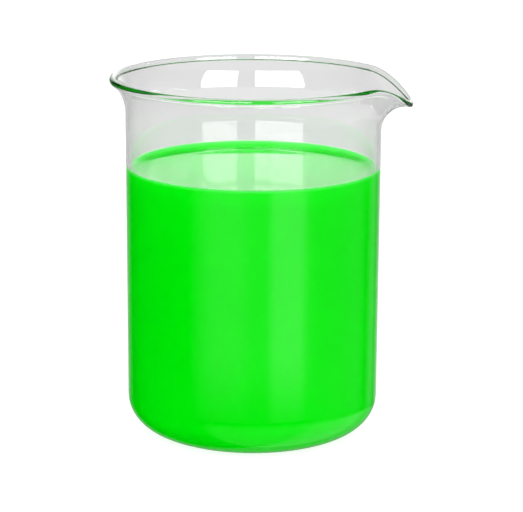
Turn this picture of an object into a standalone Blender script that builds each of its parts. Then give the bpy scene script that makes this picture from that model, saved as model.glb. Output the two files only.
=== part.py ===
"""A low-form laboratory beaker of about 600 ml, part filled with a green liquid.

The origin is the centre of the flat base, on the beaker's axis. +Z is up and +X runs towards the spout.
Lengths are in metres. A section is a list of points (r, z) in a plane through the axis.
"""

from math import asin, atan2, cos, exp, hypot, pi, radians, sin

import bmesh
import bpy

# The glass body
BODY_RADIUS = 0.045
WALL = 0.0015
BASE_THICKNESS = 0.002
CORNER_RADIUS = 0.0118

# The flared rim, which ends in a round bead. Radius and height are those of the bead's centre line.
RIM_RADIUS = 0.0493
RIM_HEIGHT = 0.1260
FLARE_START = 0.1140
BEAD_RADIUS = 0.0012

# The pouring spout, pressed out of the rim about +X
SPOUT_HALF_ANGLE = radians(37.0)
SPOUT_RADIUS = 0.05515
SPOUT_HEIGHT = 0.11785
SPOUT_START = 0.1085
SPOUT_BEAD_RADIUS = 0.00085
SPOUT_POINT = 0.35  # 0 for a round spout, 1 for a pointed one
SPOUT_TIP = 0.10  # share of the half angle that rounds the point off
SPOUT_DROP_POWER = 1.3  # over 1, the rim dips in a narrower stretch than it swings out

# The liquid
LIQUID_LEVEL = 0.0930
MENISCUS_RISE = 0.0027
MENISCUS_LENGTH = 0.0027
MENISCUS_WIDTH = 0.0100
MENISCUS_SPACING = 1.5  # over 1, the points crowd towards the glass
LIQUID_GAP = 0.0003

SEGMENTS = 80
CORNER_STEPS = 8
FLARE_STEPS = 8
BEAD_STEPS = 8
MENISCUS_STEPS = 6
ON_AXIS = 1e-6  # nearer to Z than this, a point has no angle


def clear_scene():
    for obj in list(bpy.data.objects):
        bpy.data.objects.remove(obj, do_unlink=True)


def make_material(name, colour, roughness, transmission, ior):
    material = bpy.data.materials.new(name)
    material.use_nodes = True
    shader = material.node_tree.nodes["Principled BSDF"]
    shader.inputs["Base Color"].default_value = (*colour, 1.0)
    shader.inputs["Roughness"].default_value = roughness
    shader.inputs["Metallic"].default_value = 0.0
    shader.inputs["Transmission Weight"].default_value = transmission
    shader.inputs["IOR"].default_value = ior
    return material


def blend(low, high, weight):
    return low + (high - low) * weight


def arc(centre, radius, start, end, steps):
    """Points along an arc, both ends included."""
    angles = [blend(start, end, i / steps) for i in range(steps + 1)]
    return [(centre[0] + radius * cos(a), centre[1] + radius * sin(a)) for a in angles]


def spout_weight(angle):
    """How far the rim is pressed into the spout: 1 on the spout's middle line and 0 past its shoulders."""
    share = hypot(angle / SPOUT_HALF_ANGLE, SPOUT_TIP) - SPOUT_TIP
    share = min(1.0, share / (hypot(1.0, SPOUT_TIP) - SPOUT_TIP))
    return blend(cos(share * pi / 2) ** 2, 1 - sin(share * pi / 2), SPOUT_POINT)


def upper_wall(angle):
    """The section's top at an angle about Z: outer flare, bead and inner flare, from foot to foot.

    The flare is the one arc that leaves the upright wall at its start and runs into the bead.
    """
    out = spout_weight(angle)
    down = out**SPOUT_DROP_POWER
    start = blend(FLARE_START, SPOUT_START, out)
    bead_radius = blend(BEAD_RADIUS, SPOUT_BEAD_RADIUS, out**2)
    bead = (blend(RIM_RADIUS, SPOUT_RADIUS, out), blend(RIM_HEIGHT, SPOUT_HEIGHT, down))
    half_wall = WALL / 2
    across = bead[0] - BODY_RADIUS
    up = bead[1] - start
    radius = (across**2 + up**2 - half_wall**2) / (across + half_wall) / 2
    centre = (BODY_RADIUS + radius, start)
    sweep = atan2(up, radius - across)
    setback = (bead_radius**2 - half_wall**2) ** 0.5 / (radius + half_wall)
    flare_end = pi - sweep + setback
    outer = arc(centre, radius, pi, flare_end, FLARE_STEPS)
    inner = arc(centre, radius + WALL, flare_end, pi, FLARE_STEPS)
    reach = pi - asin(half_wall / bead_radius)
    tip = pi / 2 - sweep
    rim = arc(bead, bead_radius, tip - reach, tip + reach, BEAD_STEPS)
    return outer + rim[1:-1] + inner


def glass_section(angle):
    """The beaker's section: from the middle of its base, up the outside, over the rim and down the inside."""
    corner = (BODY_RADIUS - CORNER_RADIUS, CORNER_RADIUS)
    inner_radius = CORNER_RADIUS - WALL
    inner_corner = (corner[0], BASE_THICKNESS + inner_radius)
    outside = arc(corner, CORNER_RADIUS, -pi / 2, 0.0, CORNER_STEPS)
    inside = arc(inner_corner, inner_radius, 0.0, -pi / 2, CORNER_STEPS)
    return [(0.0, 0.0)] + outside + upper_wall(angle) + inside + [(0.0, BASE_THICKNESS)]


def liquid_section(angle):
    """The liquid's section: it fills the inside up to its level and climbs the glass in a meniscus."""
    corner_radius = CORNER_RADIUS - WALL - LIQUID_GAP
    radius = BODY_RADIUS - WALL - LIQUID_GAP
    foot = BASE_THICKNESS + LIQUID_GAP
    corner = (radius - corner_radius, foot + corner_radius)
    section = [(0.0, foot)] + arc(corner, corner_radius, -pi / 2, 0.0, CORNER_STEPS)
    for i in range(MENISCUS_STEPS + 1):
        inward = MENISCUS_WIDTH * (i / MENISCUS_STEPS) ** MENISCUS_SPACING
        section.append((radius - inward, LIQUID_LEVEL + MENISCUS_RISE * exp(-inward / MENISCUS_LENGTH)))
    return section + [(0.0, LIQUID_LEVEL)]


def turned(name, section_at, material):
    """Spins a section about Z into a solid, then moves each point to its place in the section at its angle."""
    mesh = bmesh.new()
    row = mesh.verts.layers.int.new("row")
    points = [mesh.verts.new((r, 0.0, z)) for r, z in section_at(pi)]
    for index, point in enumerate(points):
        point[row] = index
    edges = [mesh.edges.new(pair) for pair in zip(points, points[1:])]
    bmesh.ops.spin(
        mesh,
        geom=points + edges,
        cent=(0.0, 0.0, 0.0),
        axis=(0.0, 0.0, 1.0),
        angle=2 * pi,
        steps=SEGMENTS,
        use_merge=True,
    )
    bmesh.ops.remove_doubles(mesh, verts=mesh.verts, dist=ON_AXIS)
    for vertex in mesh.verts:
        x, y, _ = vertex.co
        if hypot(x, y) > ON_AXIS:
            angle = atan2(y, x)
            r, z = section_at(angle)[vertex[row]]
            vertex.co = (r * cos(angle), r * sin(angle), z)
    bmesh.ops.recalc_face_normals(mesh, faces=mesh.faces)
    data = bpy.data.meshes.new(name)
    mesh.to_mesh(data)
    mesh.free()
    data.shade_smooth()
    data.materials.append(material)
    obj = bpy.data.objects.new(name, data)
    bpy.context.scene.collection.objects.link(obj)
    return obj


def make_beaker():
    glass = make_material("clear_glass", (0.95, 0.98, 0.96), 0.03, transmission=1.0, ior=1.47)
    return turned("glass_beaker", glass_section, glass)


def make_liquid():
    green = make_material("green_liquid", (0.02, 0.72, 0.03), 0.08, transmission=0.0, ior=1.33)
    return turned("green_liquid", liquid_section, green)


clear_scene()
make_beaker()
make_liquid()
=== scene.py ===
"""A laboratory beaker part filled with a green liquid: fine glass, the liquid's skin and a plain studio.

Lengths are in metres. +Z is up, the beaker stands on z = 0 about the Z axis and its spout points along +X.
A section is a list of points (r, z) in a plane through the axis. A bearing is an angle about Z, taken from
-Y towards +X, so that 0 is in front of the beaker.
"""

from math import asin, atan2, cos, hypot, log, pi, radians, sin, tan

import bmesh
import bpy
from mathutils import Matrix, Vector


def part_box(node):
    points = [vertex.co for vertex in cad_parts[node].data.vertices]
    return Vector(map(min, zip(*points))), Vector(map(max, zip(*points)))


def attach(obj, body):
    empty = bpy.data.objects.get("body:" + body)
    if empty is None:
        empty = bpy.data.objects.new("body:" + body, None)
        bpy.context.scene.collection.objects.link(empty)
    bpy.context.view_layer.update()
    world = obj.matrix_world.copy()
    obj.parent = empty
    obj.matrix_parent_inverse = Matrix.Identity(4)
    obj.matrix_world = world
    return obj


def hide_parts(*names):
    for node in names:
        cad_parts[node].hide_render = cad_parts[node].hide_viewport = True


bl_info = {
    "name": "Beaker of Green Liquid",
    "version": (1, 0, 0),
    "blender": (4, 5, 0),
    "location": "View3D > Sidebar > Beaker",
    "description": "Builds a glass beaker with a pouring spout, the liquid in it and a plain studio",
    "category": "Add Mesh",
}

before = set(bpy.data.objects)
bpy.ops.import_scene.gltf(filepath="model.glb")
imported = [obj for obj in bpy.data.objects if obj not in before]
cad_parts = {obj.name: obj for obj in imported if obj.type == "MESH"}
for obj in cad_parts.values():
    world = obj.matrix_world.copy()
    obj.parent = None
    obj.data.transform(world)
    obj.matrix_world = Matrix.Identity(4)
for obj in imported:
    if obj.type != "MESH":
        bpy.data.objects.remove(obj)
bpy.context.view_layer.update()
GLASS_LOW, GLASS_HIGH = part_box("glass_beaker")
LIQUID_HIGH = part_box("green_liquid")[1]

ON_AXIS = 1e-6  # nearer to Z than this, a point has no angle
CREASE = radians(60.0)  # the liquid's edge is sharper than this and nothing else is
SKIN = 2e-5  # half the depth in which the liquid's finish turns from its side's to its free surface's
CLOUDS = (0.3, 0.7)  # noise at which a cloud in the liquid begins and is full
SPREAD = (0.2, 1.0, 0.2)  # how far red, green and blue light run in the liquid, to each other
FLOOR_GAP = 0.0001  # keeps the floor clear of the base
SENSOR_WIDTH = 36.0  # in millimetres, as the focal length is
VIEW_DEPTH = 100.0  # how far the camera sees
BOUNCES = 32  # light runs a long way inside the rim


def length(name, default, description):
    return bpy.props.FloatProperty(
        name=name, description=description, default=default, min=0.0, unit="LENGTH", precision=5
    )


def angle(name, default, description):
    return bpy.props.FloatProperty(
        name=name, description=description, default=radians(default), subtype="ANGLE", unit="ROTATION"
    )


def number(name, default, description):
    return bpy.props.FloatProperty(name=name, description=description, default=default, min=0.0)


def count(name, default, description):
    return bpy.props.IntProperty(name=name, description=description, default=default, min=2)


def colour(name, default, description):
    return bpy.props.FloatVectorProperty(
        name=name, description=description, default=default, size=3, min=0.0, max=1.0, subtype="COLOR"
    )


class GlassSettings(bpy.types.PropertyGroup):
    """Sizes and finish of the glass."""

    wall: length("Wall", 0.0015, "Thickness of the wall")
    seam: length("Seam", 0.0003, "Gap that the packed liquid keeps to the glass")
    base: length("Base", 0.0020, "Thickness of the base")
    heel: length("Heel Radius", 0.0118, "Outer radius of the rounded heel")
    bead: length("Bead Radius", 0.0012, "Radius of the bead along the rim")
    tip_bead: length("Tip Bead Radius", 0.00085, "Radius of the bead at the spout's tip")
    flare_start: length("Flare Start", 0.1140, "Height where the wall starts to flare")
    spout_start: length("Spout Start", 0.1085, "Height where the wall starts to flare under the spout")
    spout_drop: length("Spout Drop", 0.0085, "How far the spout's tip lies below the rim")
    spout_half_angle: angle("Spout Half Angle", 37.0, "From the spout's middle line to its shoulder")
    spout_point: number("Spout Point", 0.35, "0 for a round spout, 1 for a pointed one")
    spout_tip: number("Spout Tip", 0.10, "Share of the half angle that rounds the point off")
    spout_drop_power: number("Spout Drop Power", 1.3, "Over 1, the rim dips in a narrower stretch")
    tint: colour("Tint", (0.42, 0.47, 0.43), "Colour that thick glass passes")
    tint_density: number("Tint Density", 42.0, "Absorption per metre")
    ior: number("IOR", 1.47, "Refractive index of the glass")
    ripple: length("Ripple", 0.000012, "Depth of the faint waves in the glass")
    wave_scale: number("Wave Scale", 38.0, "Scale of those waves")
    turns: count("Turns", 240, "Segments around")
    heel_steps: count("Heel Steps", 14, "Segments in the rounded heel")
    wall_steps: count("Wall Steps", 40, "Segments up the upright wall")
    flare_steps: count("Flare Steps", 16, "Segments in the flare")
    bead_steps: count("Bead Steps", 18, "Segments round the bead")


class LiquidSettings(bpy.types.PropertyGroup):
    """Sizes and finish of the liquid, and the light and glow painted below its edge."""

    rise: length("Meniscus Rise", 0.0027, "How far the liquid climbs the glass")
    contact_angle: angle("Contact Angle", 30.0, "Angle between the glass and the liquid's edge")
    flattest: angle("Flattest Slope", 0.3, "Slope at which the climb is taken to be over")
    overlap: length("Overlap", 0.0001, "How far the liquid's side lies inside the glass, so no air shows")
    steps: count("Meniscus Steps", 24, "Segments across the curved band")
    green: colour("Colour", (0.0, 0.82, 0.003), "Colour of the liquid")
    pale: colour("Pale Colour", (0.001, 0.85, 0.004), "Colour of its paler clouds")
    # Painted light: the band below the edge gets a brighter green in place of the light from above that
    # reaches it.
    bright: colour("Bright Colour", (0.001, 0.86, 0.005), "Colour of the band below its edge")
    painted_light_band: length("Bright Band", 0.008, "Height of the band below the edge that light from above fills")
    # Painted highlight: the thin edge along the glass gets a pale green in place of its highlight and the
    # light through it.
    painted_edge_light: colour("Film Colour", (0.12, 1.0, 0.14), "Colour of its thin edge along the glass")
    thin_edge: length("Thin Edge", 0.0016, "Height in which the edge turns pale")
    # Painted glow: the thin edge and the band below it give off light, though they are no lamp.
    painted_edge_glow: colour("Edge Glow", (0.006, 0.14, 0.008), "Light that comes through the thin edge")
    painted_band_glow: number("Band Glow", 0.15, "Share of that glow in the bright band")
    cloud_scale: number("Cloud Scale", 22.0, "Scale of the paler clouds")
    depth: length("Light Depth", 0.004, "How far light spreads in the liquid")
    ior: number("IOR", 1.333, "Refractive index of the liquid")


class StudioSettings(bpy.types.PropertyGroup):
    """Floor, light and camera."""

    floor: colour("Floor", (0.35, 0.35, 0.35), "Colour of the floor")
    glow: colour("Floor Glow", (0.76, 0.76, 0.76), "Light that comes up through the floor")
    glow_through: colour("Floor Glow Through Glass", (0.38, 0.38, 0.38), "The glow as seen through the glass")
    floor_size: length("Floor Size", 16.0, "Width of the floor")
    grain: number("Grain", 0.015, "Strength of the floor's grain")
    grain_scale: number("Grain Scale", 600.0, "Scale of the floor's grain")
    backdrop: number("Backdrop", 1.0, "Brightness of the plain background")
    through: number("Backdrop Through Glass", 0.77, "Brightness of the background behind the glass")
    camera_distance: length("Camera Distance", 0.7050, "From the beaker's axis, along the floor")
    camera_height: length("Camera Height", 0.2417, "Height of the camera above the floor")
    camera_bearing: angle("Camera Bearing", 2.58, "Bearing of the camera")
    camera_heading: angle("Camera Heading", 2.33, "Turn of the camera about Z")
    camera_pitch: angle("Camera Pitch", 14.303, "How far the camera looks down")
    camera_roll: angle("Camera Roll", 0.328, "Turn of the camera about its own axis")
    focal_length: number("Focal Length", 139.93, "Focal length in millimetres on a 36 mm wide sensor")


class Wire:
    """A shader socket. Arithmetic on wires adds Math nodes to their tree."""

    def __init__(self, tree, socket):
        self.tree = tree
        self.socket = socket

    def __add__(self, other):
        return self.tree.math("ADD", self, other)

    def __sub__(self, other):
        return self.tree.math("SUBTRACT", self, other)

    def __rsub__(self, other):
        return self.tree.math("SUBTRACT", other, self)

    def __mul__(self, other):
        return self.tree.math("MULTIPLY", self, other)

    __radd__ = __add__
    __rmul__ = __mul__

    def smooth(self, low, high):
        """0 below low, 1 above high and a smooth step between."""
        return self.tree.node(
            "ShaderNodeMapRange",
            {"interpolation_type": "SMOOTHSTEP"},
            {"Value": self, "From Min": low, "From Max": high},
        )

    def inside(self, low, high, edge):
        """1 between low and high and 0 outside them, with soft edges."""
        half = edge / 2
        return self.smooth(low - half, low + half) * (1 - self.smooth(high - half, high + half))


class Tree:
    """A node tree that is being written."""

    def __init__(self, owner):
        owner.use_nodes = True
        self.nodes = owner.node_tree.nodes
        self.links = owner.node_tree.links
        self.nodes.clear()

    def node(self, kind, settings=None, inputs=None, output=0):
        """Adds a node, sets it up and returns one of its outputs."""
        node = self.nodes.new(kind)
        for name, value in (settings or {}).items():
            setattr(node, name, value)
        for name, value in (inputs or {}).items():
            if isinstance(value, Wire):
                self.links.new(value.socket, node.inputs[name])
            else:
                node.inputs[name].default_value = value
        return Wire(self, node.outputs[output]) if node.outputs else None

    def math(self, operation, *values):
        return self.node("ShaderNodeMath", {"operation": operation}, dict(enumerate(values)))

    def axes(self, vector):
        """A vector's x, y and z."""
        return [self.node("ShaderNodeSeparateXYZ", inputs={"Vector": vector}, output=axis) for axis in "XYZ"]

    def mix(self, factor, low, high):
        return self.node(
            "ShaderNodeMix", {"data_type": "RGBA"}, {"Factor": factor, 6: low, 7: high}, output=2
        )


def opaque(rgb):
    return (*rgb, 1.0)


def grey(level):
    return (level, level, level, 1.0)


def blend(low, high, weight):
    return low + (high - low) * weight


def arc(centre, radius, start, end, steps):
    """Points along an arc, both ends included."""
    angles = [blend(start, end, i / steps) for i in range(steps + 1)]
    return [(centre[0] + radius * cos(a), centre[1] + radius * sin(a)) for a in angles]


def body_radius(glass):
    return LIQUID_HIGH.x + glass.seam + glass.wall


def spout_weight(glass, turn):
    """How far the rim is pressed into the spout: 1 on the spout's middle line and 0 past its shoulders."""
    share = hypot(turn / glass.spout_half_angle, glass.spout_tip) - glass.spout_tip
    share = min(1.0, share / (hypot(1.0, glass.spout_tip) - glass.spout_tip))
    return blend(cos(share * pi / 2) ** 2, 1 - sin(share * pi / 2), glass.spout_point)


def upper_wall(glass, turn):
    """The section's top at an angle about Z: outer flare, bead and inner flare, from foot to foot.

    The flare is the one arc that leaves the upright wall at its start and runs into the bead.
    """
    out = spout_weight(glass, turn)
    down = glass.spout_drop * out**glass.spout_drop_power
    start = blend(glass.flare_start, glass.spout_start, out)
    thick = blend(glass.bead, glass.tip_bead, out**2)
    bead = (blend(-GLASS_LOW.y, GLASS_HIGH.x, out) - thick, GLASS_HIGH.z - thick - down)
    half_wall = glass.wall / 2
    across = bead[0] - body_radius(glass)
    up = bead[1] - start
    radius = (across**2 + up**2 - half_wall**2) / (across + half_wall) / 2
    centre = (body_radius(glass) + radius, start)
    sweep = atan2(up, radius - across)
    setback = (thick**2 - half_wall**2) ** 0.5 / (radius + half_wall)
    flare_end = pi - sweep + setback
    outer = arc(centre, radius, pi, flare_end, glass.flare_steps)
    inner = arc(centre, radius + glass.wall, flare_end, pi, glass.flare_steps)
    reach = pi - asin(half_wall / thick)
    tip = pi / 2 - sweep
    rim = arc(bead, thick, tip - reach, tip + reach, glass.bead_steps)
    return outer + rim[1:-1] + inner


def upright(radius, foot, top, steps):
    """Points between the foot and the top of an upright wall, without its ends."""
    return [(radius, blend(foot, top, i / steps)) for i in range(1, steps)]


def glass_section(glass, turn):
    """The beaker's section: from the middle of its base, up the outside, over the rim and down the inside."""
    outer_radius = body_radius(glass)
    corner = (outer_radius - glass.heel, glass.heel)
    inner_heel = glass.heel - glass.wall
    inner_corner = (corner[0], glass.base + inner_heel)
    top = upper_wall(glass, turn)
    foot = top[0][1]
    section = [(0.0, 0.0)]
    section += arc(corner, glass.heel, -pi / 2, 0.0, glass.heel_steps)
    section += upright(outer_radius, corner[1], foot, glass.wall_steps)
    section += top
    section += upright(outer_radius - glass.wall, foot, inner_corner[1], glass.wall_steps)
    section += arc(inner_corner, inner_heel, 0.0, -pi / 2, glass.heel_steps)
    return section + [(0.0, glass.base)]


def liquid_section(glass, liquid):
    """The liquid's section: it fills the beaker and climbs the glass in a meniscus."""
    radius = body_radius(glass) - glass.wall + liquid.overlap
    heel = glass.heel - glass.wall + liquid.overlap
    foot = glass.base - liquid.overlap
    level = LIQUID_HIGH.z - liquid.rise
    section = [(0.0, foot)]
    section += arc((radius - heel, foot + heel), heel, -pi / 2, 0.0, glass.heel_steps)
    section += upright(radius, foot + heel, LIQUID_HIGH.z, glass.wall_steps)
    steepest = pi / 2 - liquid.contact_angle
    size = liquid.rise / (2 * sin(steepest / 2))
    for i in range(liquid.steps + 1):
        slope = steepest * (1 - i / liquid.steps) ** 2 + liquid.flattest
        slope = min(slope, steepest)
        inward = log(tan(steepest / 4) / tan(slope / 4)) + 2 * cos(steepest / 2) - 2 * cos(slope / 2)
        section.append((radius - size * inward, level + 2 * size * sin(slope / 2)))
    return section + [(0.0, level)]


def turned(name, section_at, turns):
    """Spins a section about Z into a solid, then moves each point to its place in the section at its turn."""
    mesh = bmesh.new()
    row = mesh.verts.layers.int.new("row")
    points = [mesh.verts.new((r, 0.0, z)) for r, z in section_at(pi)]
    for index, point in enumerate(points):
        point[row] = index
    edges = [mesh.edges.new(pair) for pair in zip(points, points[1:])]
    bmesh.ops.spin(
        mesh,
        geom=points + edges,
        cent=(0.0, 0.0, 0.0),
        axis=(0.0, 0.0, 1.0),
        angle=2 * pi,
        steps=turns,
        use_merge=True,
    )
    bmesh.ops.remove_doubles(mesh, verts=mesh.verts, dist=ON_AXIS)
    sections = {}
    for vertex in mesh.verts:
        x, y, _ = vertex.co
        if hypot(x, y) < ON_AXIS:
            continue
        turn = round(atan2(y, x) / (2 * pi) * turns)
        if turn not in sections:
            sections[turn] = section_at(2 * pi * turn / turns)
        r, z = sections[turn][vertex[row]]
        vertex.co = (r * cos(2 * pi * turn / turns), r * sin(2 * pi * turn / turns), z)
    mesh.verts.layers.int.remove(row)
    bmesh.ops.recalc_face_normals(mesh, faces=mesh.faces)
    data = bpy.data.meshes.new(name)
    mesh.to_mesh(data)
    mesh.free()
    data.shade_smooth()
    data.set_sharp_from_angle(angle=CREASE)
    piece = bpy.data.objects.new(name, data)
    bpy.context.scene.collection.objects.link(piece)
    return piece


def glass_material(glass):
    """Clear glass: faint waves in its faces and a tint that only its thick edges show."""
    material = bpy.data.materials.new("clear_glass")
    tree = Tree(material)
    place = tree.node("ShaderNodeTexCoord", output="Object")
    waves = tree.node(
        "ShaderNodeTexNoise", inputs={"Vector": place, "Scale": glass.wave_scale, "Detail": 1.0}
    )
    bump = tree.node("ShaderNodeBump", inputs={"Height": waves, "Distance": glass.ripple, "Strength": 1.0})
    shader = tree.node(
        "ShaderNodeBsdfPrincipled",
        inputs={
            "Base Color": grey(1.0),
            "Roughness": 0.0,
            "IOR": glass.ior,
            "Transmission Weight": 1.0,
            "Normal": bump,
        },
    )
    tint = tree.node(
        "ShaderNodeVolumeAbsorption", inputs={"Color": opaque(glass.tint), "Density": glass.tint_density}
    )
    tree.node("ShaderNodeOutputMaterial", inputs={"Surface": shader, "Volume": tint})
    return material


def liquid_material(glass, liquid):
    """An opaque green liquid, with light and a glow painted below its edge. Only its free surface is glossy,
    because glass wets the rest.
    """
    material = bpy.data.materials.new("green_liquid")
    tree = Tree(material)
    place = tree.node("ShaderNodeTexCoord", output="Object")
    clouds = tree.node(
        "ShaderNodeTexNoise", inputs={"Vector": place, "Scale": liquid.cloud_scale, "Detail": 2.0}
    )
    body = tree.mix(clouds.smooth(*CLOUDS), opaque(liquid.green), opaque(liquid.pale))
    across, along, up = tree.axes(place)
    radius = tree.math("SQRT", across * across + along * along)
    inner = body_radius(glass) - glass.wall
    above = up.smooth(LIQUID_HIGH.z - 2 * liquid.rise, LIQUID_HIGH.z - 1.5 * liquid.rise)
    free = (1 - radius.smooth(inner - SKIN, inner + SKIN)) * above
    # Painted light: the band below the edge is a brighter green, for the light from above.
    band = up.smooth(LIQUID_HIGH.z - liquid.painted_light_band, LIQUID_HIGH.z) * (1 - free)
    # Painted highlight: the thin edge is pale green, for its highlight and the light through it.
    thin = up.smooth(LIQUID_HIGH.z - liquid.thin_edge, LIQUID_HIGH.z)
    body = tree.mix(band, body, opaque(liquid.bright))
    body = tree.mix(thin, body, opaque(liquid.painted_edge_light))
    # Painted glow: the band and the thin edge emit light, in place of light that comes through them.
    glow = tree.mix(tree.math("MAXIMUM", band * liquid.painted_band_glow, thin), grey(0.0), opaque(liquid.painted_edge_glow))
    shader = tree.node(
        "ShaderNodeBsdfPrincipled",
        inputs={
            "Base Color": body,
            "Roughness": 0.4,
            "Specular IOR Level": 0.0,
            "Coat Weight": free,
            "Coat Roughness": 0.0,
            "Coat IOR": liquid.ior,
            "Subsurface Weight": 1.0,
            "Subsurface Radius": SPREAD,
            "Subsurface Scale": liquid.depth,
            "Emission Color": glow,
            "Emission Strength": 1.0,
        },
    )
    tree.node("ShaderNodeOutputMaterial", inputs={"Surface": shader})
    return material


def floor_material(studio):
    """Plain white paper, lit from below as on a light table."""
    material = bpy.data.materials.new("floor")
    tree = Tree(material)
    place = tree.node("ShaderNodeTexCoord", output="Object")
    grain = tree.node(
        "ShaderNodeTexNoise", inputs={"Vector": place, "Scale": studio.grain_scale, "Detail": 2.0}
    )
    shade = tree.mix(grain * studio.grain, opaque(studio.floor), grey(0.0))
    seen = tree.node("ShaderNodeLightPath", output="Is Camera Ray")
    lit = tree.node("ShaderNodeLightPath", output="Diffuse Depth").smooth(0.0, 1.0)
    glow = tree.mix((1 - seen) * (1 - lit), opaque(studio.glow), opaque(studio.glow_through))
    shader = tree.node(
        "ShaderNodeBsdfPrincipled",
        inputs={
            "Base Color": shade,
            "Roughness": 0.9,
            "Specular IOR Level": 0.0,
            "Emission Color": glow,
            "Emission Strength": 1.0,
        },
    )
    tree.node("ShaderNodeOutputMaterial", inputs={"Surface": shader})
    return material


# Cards of light round the beaker: low and high bearing and their soft edge, low and high elevation and their
# soft edge, all in degrees, and brightness. No bearing reaches 400 and no elevation 100, so a card that ends
# there has no edge on that side. The first list is what the glass and the liquid's skin mirror.
MIRRORED = (
    (-46.0, 1.0, 2.0, 4.0, 42.0, 1.5, 12.0),  # left panel
    (18.5, 53.0, 2.0, 4.0, 42.0, 1.5, 10.0),  # right panel
    (-50.0, 60.0, 18.0, -18.3, 3.0, 3.0, 0.36),  # bench below the panels
    (-38.0, -4.0, 16.0, -18.3, 3.0, 3.0, 0.28),  # the left panel's light on the bench
    (19.0, 50.0, 12.0, -18.3, 3.0, 3.0, 0.95),  # the right panel's light on the bench
    (60.0, 120.0, 24.0, -20.0, 20.0, 6.0, 0.22),  # right wall
    (133.0, 150.0, 14.0, -20.0, 20.0, 6.0, 0.25),  # its end, at the right behind
    (160.0, 400.0, 26.0, -20.0, 4.0, 4.0, 0.70),  # foot of the backdrop, right half
    (-400.0, -160.0, 44.0, -20.0, 4.0, 4.0, 0.85),  # foot of the backdrop, left half
    (160.0, 400.0, 26.0, 4.0, 24.0, 4.0, 1.45),  # backdrop, right half
    (-400.0, -160.0, 26.0, 4.0, 24.0, 4.0, 1.45),  # backdrop, left half
    (-40.0, 400.0, 20.0, -100.0, -21.0, 3.0, 0.30),  # floor in front, at the right and right behind
    (-400.0, -150.0, 20.0, -100.0, -21.0, 3.0, 0.30),  # floor at the left behind
    (55.0, 125.0, 30.0, -100.0, -21.0, 3.0, 0.45),  # floor at the right, brighter
    (-400.0, 400.0, 1.0, 42.0, 100.0, 8.0, 0.35),  # ceiling
)
# The second list lights everything else.
LIGHTING = (
    (-400.0, 400.0, 1.0, -100.0, 100.0, 1.0, 0.25),  # the dim room all round
    (-60.0, 62.0, 26.0, -10.0, 45.0, 20.0, 3.2),  # both panels
    (66.0, 135.0, 30.0, -10.0, 45.0, 30.0, 2.1),  # fill at the right
    (-135.0, -64.0, 40.0, -10.0, 45.0, 30.0, 1.4),  # fill at the left
    (-400.0, -125.0, 40.0, -10.0, 26.0, 20.0, 3.2),  # backdrop, left half
    (130.0, 400.0, 30.0, -10.0, 26.0, 20.0, 3.5),  # backdrop, right half
)
# Light that has only passed straight through glass shows a plain backdrop instead, up to this elevation in
# degrees and fading out over the next few.
CLEAR_TOP = 8.0
CLEAR_EDGE = 4.0


def cards(bearing, height, rows):
    """The brightness of a list of cards."""
    light = 0.0
    for left, right, side_edge, foot, top, end_edge, bright in rows:
        light = light + bearing.inside(left, right, side_edge) * height.inside(foot, top, end_edge) * bright
    return light


def build_world(studio):
    """Two tall light panels in front, a pale backdrop behind and a dim room around them."""
    world = bpy.data.worlds.new("studio")
    bpy.context.scene.world = world
    tree = Tree(world)
    x, y, z = tree.axes(tree.node("ShaderNodeTexCoord", output="Generated"))
    bearing = tree.math("ARCTAN2", x, 0 - y) * (180 / pi)
    height = tree.math("ARCSINE", z) * (180 / pi)
    camera = tree.node("ShaderNodeLightPath", output="Is Camera Ray")
    passed = tree.node("ShaderNodeLightPath", output="Is Transmission Ray")
    diffuse = tree.node("ShaderNodeLightPath", output="Diffuse Depth").smooth(0.0, 1.0)
    glossy = tree.node("ShaderNodeLightPath", output="Glossy Depth").smooth(0.0, 1.0)
    sharp = (1 - diffuse) * (1 - (1 - glossy) * (1 - passed))
    straight = (1 - diffuse) * (1 - glossy) * passed * (1 - height.smooth(CLEAR_TOP, CLEAR_TOP + CLEAR_EDGE))
    light = cards(bearing, height, LIGHTING) * (1 - sharp) + cards(bearing, height, MIRRORED) * sharp
    light = light * (1 - straight) + straight * studio.through
    light = light * (1 - camera) + camera * studio.backdrop
    shader = tree.node("ShaderNodeBackground", inputs={"Color": grey(1.0), "Strength": light})
    tree.node("ShaderNodeOutputWorld", inputs={"Surface": shader})


class BEAKER_OT_glass(bpy.types.Operator):
    """Turn the beaker's glass and press its spout."""

    bl_idname = "beaker.glass"
    bl_label = "Glass"

    def execute(self, context):
        glass = context.scene.beaker_glass
        piece = turned("beaker", lambda turn: glass_section(glass, turn), glass.turns)
        piece.data.materials.append(glass_material(glass))
        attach(piece, "root")
        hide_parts("glass_beaker")
        return {"FINISHED"}


class BEAKER_OT_liquid(bpy.types.Operator):
    """Turn the liquid with its meniscus."""

    bl_idname = "beaker.liquid"
    bl_label = "Liquid"

    def execute(self, context):
        glass = context.scene.beaker_glass
        liquid = context.scene.beaker_liquid
        piece = turned("liquid", lambda turn: liquid_section(glass, liquid), glass.turns)
        piece.data.materials.append(liquid_material(glass, liquid))
        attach(piece, "root")
        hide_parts("green_liquid")
        return {"FINISHED"}


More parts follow.
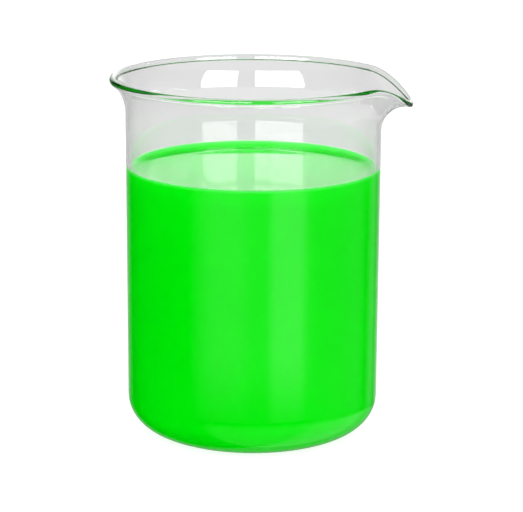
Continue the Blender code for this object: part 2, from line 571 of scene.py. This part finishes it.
class BEAKER_OT_studio(bpy.types.Operator):
    """Lay the floor, light the room and place the camera."""

    bl_idname = "beaker.studio"
    bl_label = "Studio"

    def execute(self, context):
        studio = context.scene.beaker_studio
        mesh = bmesh.new()
        bmesh.ops.create_grid(mesh, x_segments=1, y_segments=1, size=studio.floor_size / 2)
        data = bpy.data.meshes.new("floor")
        mesh.to_mesh(data)
        mesh.free()
        floor = bpy.data.objects.new("floor", data)
        floor.location.z = -FLOOR_GAP
        floor.visible_glossy = False
        data.materials.append(floor_material(studio))
        context.scene.collection.objects.link(floor)
        build_world(studio)
        camera = bpy.data.objects.new("camera", bpy.data.cameras.new("camera"))
        camera.data.sensor_width = SENSOR_WIDTH
        camera.data.lens = studio.focal_length
        camera.data.clip_end = VIEW_DEPTH
        place = Matrix.Translation(
            (
                studio.camera_distance * sin(studio.camera_bearing),
                -studio.camera_distance * cos(studio.camera_bearing),
                studio.camera_height,
            )
        )
        turn = Matrix.Rotation(studio.camera_heading, 4, "Z")
        tilt = Matrix.Rotation(pi / 2 - studio.camera_pitch, 4, "X")
        roll = Matrix.Rotation(studio.camera_roll, 4, "Z")
        camera.matrix_world = place @ turn @ tilt @ roll
        context.scene.collection.objects.link(camera)
        context.scene.camera = camera
        context.scene.view_settings.view_transform = "Standard"
        context.scene.cycles.max_bounces = BOUNCES
        context.scene.cycles.glossy_bounces = BOUNCES
        context.scene.cycles.transmission_bounces = BOUNCES
        return {"FINISHED"}


class BEAKER_PT_panel(bpy.types.Panel):
    """Lists the steps that build the beaker."""

    bl_idname = "BEAKER_PT_panel"
    bl_label = "Beaker"
    bl_space_type = "VIEW_3D"
    bl_region_type = "UI"
    bl_category = "Beaker"

    def draw(self, context):
        for settings, operator in (
            (context.scene.beaker_glass, BEAKER_OT_glass),
            (context.scene.beaker_liquid, BEAKER_OT_liquid),
            (context.scene.beaker_studio, BEAKER_OT_studio),
        ):
            box = self.layout.box()
            for name in settings.bl_rna.properties.keys():
                if name not in {"rna_type", "name"}:
                    box.prop(settings, name)
            box.operator(operator.bl_idname)


SETTINGS = {"beaker_glass": GlassSettings, "beaker_liquid": LiquidSettings, "beaker_studio": StudioSettings}
OPERATORS = (BEAKER_OT_glass, BEAKER_OT_liquid, BEAKER_OT_studio)


def register():
    for kind in (*SETTINGS.values(), *OPERATORS, BEAKER_PT_panel):
        bpy.utils.register_class(kind)
    for name, kind in SETTINGS.items():
        setattr(bpy.types.Scene, name, bpy.props.PointerProperty(type=kind))


def unregister():
    for name in SETTINGS:
        delattr(bpy.types.Scene, name)
    for kind in reversed((*SETTINGS.values(), *OPERATORS, BEAKER_PT_panel)):
        bpy.utils.unregister_class(kind)


def main():
    register()
    bpy.ops.beaker.glass()
    bpy.ops.beaker.liquid()
    bpy.ops.beaker.studio()


if __name__ == "__main__":
    main()
